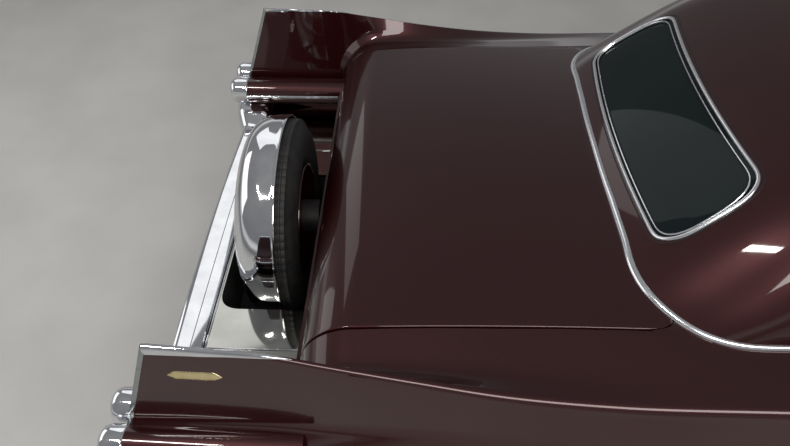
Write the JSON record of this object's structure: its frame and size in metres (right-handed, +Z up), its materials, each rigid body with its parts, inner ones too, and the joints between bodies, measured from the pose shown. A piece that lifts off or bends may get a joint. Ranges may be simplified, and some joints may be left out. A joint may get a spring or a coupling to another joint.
{
  "type": "two-door hardtop car of the late 1950s with tail fins",
  "caption": "Full-size two-door hardtop with tail fins, round tail pods and an upright spare wheel; doors, lids, steering and wheels move.",
  "frame": {"origin": "on the ground, in the middle of the car's length and width", "axes": "+X to the front of the car, +Y to its left side, +Z up"},
  "size_m": [5.62, 2.0478, 1.4998],
  "materials": {
    "paint": "very dark maroon metallic with clear coat",
    "chrome": "polished chrome",
    "bright_plate": "mirror-polished plate",
    "glass": "clear glass",
    "dark_glass": "dark green-grey glass",
    "tyre": "black rubber",
    "wheel": "bright pressed wheel",
    "frame_black": "satin black",
    "engine": "painted cast iron",
    "trim_dark": "dark trim",
    "leather": "pale leather"
  },
  "bodies": {
    "body": {"chassis_frame": "frame_black", "floor_pan": "frame_black", "sills": "paint", "cowl": "paint", "parcel_shelf": "trim_dark", "rear_panel": "paint", "tray": "bright_plate", "roof": "paint", "windshield": "glass", "rear_window": "dark_glass", "quarter_windows": "glass", "grille": "chrome", "front_bumper": "chrome", "rear_bumper": "chrome", "tail_pods": "chrome", "headlamps": "chrome", "spare_tyre": "tyre", "spare_rim": "wheel", "spare_cover": "chrome", "spare_carrier": "frame_black", "engine_block": "engine", "rear_axle": "frame_black", "front_suspension": "frame_black", "exhaust": "bright_plate", "fuel_tank": "frame_black", "dashboard": "trim_dark", "steering_wheel": "trim_dark", "front_seat": "leather", "rear_seat": "leather", "fender_left": "paint", "fender_right": "paint", "quarter_left": "paint", "quarter_right": "paint"},
    "hood": {"hood": "paint"},
    "decklid": {"decklid": "paint"},
    "door_left": {"door_left": "paint", "door_glass_left": "glass"},
    "knuckle_left": {"knuckle_left": "frame_black"},
    "door_right": {"door_right": "paint", "door_glass_right": "glass"},
    "knuckle_right": {"knuckle_right": "frame_black"},
    "wheel_front_left": {"tyre_front_left": "tyre", "rim_front_left": "wheel"},
    "wheel_front_right": {"tyre_front_right": "tyre", "rim_front_right": "wheel"},
    "wheel_rear_left": {"tyre_rear_left": "tyre", "rim_rear_left": "wheel"},
    "wheel_rear_right": {"tyre_rear_right": "tyre", "rim_rear_right": "wheel"}
  },
  "joints": [
    {"name": "steer_left", "type": "hinge", "parent": "body", "child": "knuckle_left", "pos_m": [1.92, 0.68, 0.365], "axis": [0, 0, 1], "range_deg": [-30, 30]},
    {"name": "steer_right", "type": "hinge", "parent": "body", "child": "knuckle_right", "pos_m": [1.92, -0.68, 0.365], "axis": [0, 0, 1], "range_deg": [-30, 30]},
    {"name": "roll_front_left", "type": "hinge", "parent": "knuckle_left", "child": "wheel_front_left", "pos_m": [1.92, 0.775, 0.365], "axis": [0, 1, 0], "continuous": true},
    {"name": "roll_rear_left", "type": "hinge", "parent": "body", "child": "wheel_rear_left", "pos_m": [-1.37, 0.775, 0.365], "axis": [0, 1, 0], "continuous": true},
    {"name": "open_door_left", "type": "hinge", "parent": "body", "child": "door_left", "pos_m": [0.806, 1.001, 0.62], "axis": [0, 0, -1], "range_deg": [0, 65]},
    {"name": "roll_front_right", "type": "hinge", "parent": "knuckle_right", "child": "wheel_front_right", "pos_m": [1.92, -0.775, 0.365], "axis": [0, 1, 0], "continuous": true},
    {"name": "roll_rear_right", "type": "hinge", "parent": "body", "child": "wheel_rear_right", "pos_m": [-1.37, -0.775, 0.365], "axis": [0, 1, 0], "continuous": true},
    {"name": "open_door_right", "type": "hinge", "parent": "body", "child": "door_right", "pos_m": [0.806, -1.001, 0.62], "axis": [0, 0, 1], "range_deg": [0, 65]},
    {"name": "open_hood", "type": "hinge", "parent": "body", "child": "hood", "pos_m": [1.106, 0, 0.985], "axis": [0, -1, 0], "range_deg": [0, 42]},
    {"name": "open_decklid", "type": "hinge", "parent": "body", "child": "decklid", "pos_m": [-1.268, 0, 0.978], "axis": [0, 1, 0], "range_deg": [0, 60]}
  ],
  "couplings": [
    {"joint": "steer_right", "follows": "steer_left", "ratio": 1}
  ]
}
